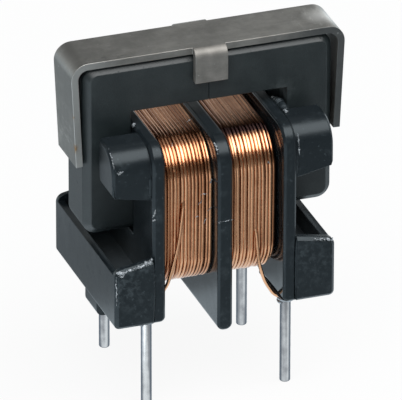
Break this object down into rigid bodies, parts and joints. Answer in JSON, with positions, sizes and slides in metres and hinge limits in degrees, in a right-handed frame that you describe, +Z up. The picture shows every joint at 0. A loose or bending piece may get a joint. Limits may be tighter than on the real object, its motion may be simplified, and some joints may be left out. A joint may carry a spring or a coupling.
{
  "type": "common mode choke",
  "caption": "Upright mains filter choke: two copper coils side by side on one bar of a closed ferrite ring, on a black moulded former with a steel clip and wire pins.",
  "frame": {"origin": "centre of the pin pattern, on the plane of the circuit board that the partition and the feet stand on", "axes": "+X from the left coil to the right coil along the bar of the ring, +Y to the rear, +Z up away from the board"},
  "size_m": [0.0156, 0.0102, 0.02],
  "materials": {
    "moulding": "glossy black moulded resin with varnish spots",
    "ferrite": "sintered manganese zinc ferrite, dark grey, matt",
    "clip_steel": "rolled spring steel strip, warm grey, light stains",
    "coil_wire": "copper wire under clear enamel",
    "pin_wire": "tin-plated steel wire with a solder cone at the root"
  },
  "bodies": {
    "root": {"coil_former": "moulding", "core_half_left": "ferrite", "core_half_right": "ferrite", "steel_clip": "clip_steel", "winding_left": "coil_wire", "winding_right": "coil_wire", "front_left_pin": "pin_wire", "front_right_pin": "pin_wire", "rear_left_pin": "pin_wire", "rear_right_pin": "pin_wire"}
  },
  "joints": []
}
